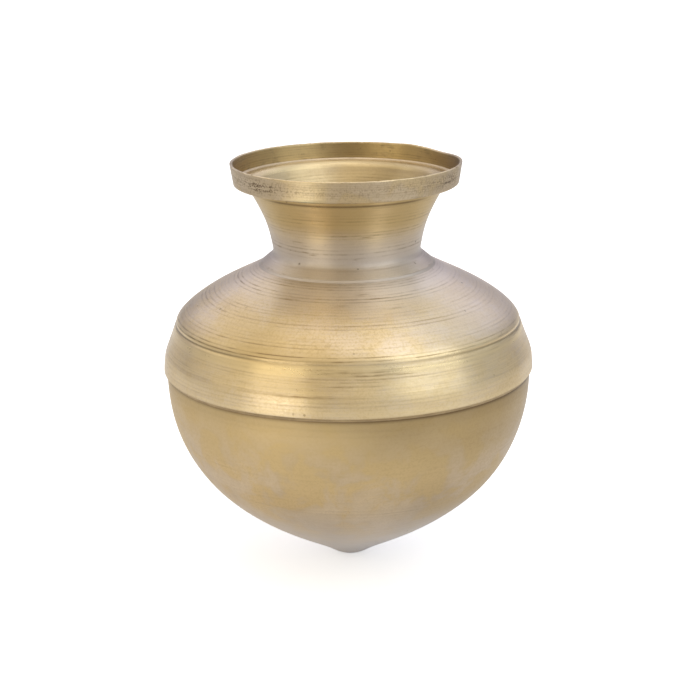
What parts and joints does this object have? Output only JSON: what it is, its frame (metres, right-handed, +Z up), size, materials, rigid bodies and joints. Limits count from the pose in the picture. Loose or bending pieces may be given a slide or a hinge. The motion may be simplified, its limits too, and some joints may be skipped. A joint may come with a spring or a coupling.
{
  "type": "kalash pot",
  "caption": "Small brass water pot with a pointed round base, lapped belly band, turned shoulder, narrow flared neck and upright rim collar.",
  "frame": {"origin": "lowest point of the tip under the bowl, on the pot's axis", "axes": "+Z up along the pot's axis of revolution, from the tip to the mouth; X and Y are any two directions square to it"},
  "size_m": [0.0661, 0.066, 0.0732],
  "materials": {
    "bowl_brass": "satin spun brass with a soft brown-olive tarnish",
    "shoulder_brass": "satin brass with fine concentric turning grooves, brighter on the band",
    "neck_brass": "satin turned brass with fine horizontal tool lines",
    "rim_brass": "satin brass, brushed along its length, pitted and nicked",
    "braze_metal": "dull pitted brazing brass, darker than the sheets"
  },
  "bodies": {
    "root": {"bowl": "bowl_brass", "shoulder": "shoulder_brass", "neck": "neck_brass", "rim_collar": "rim_brass", "belly_braze": "braze_metal", "neck_braze": "braze_metal", "rim_braze": "braze_metal"}
  },
  "joints": []
}
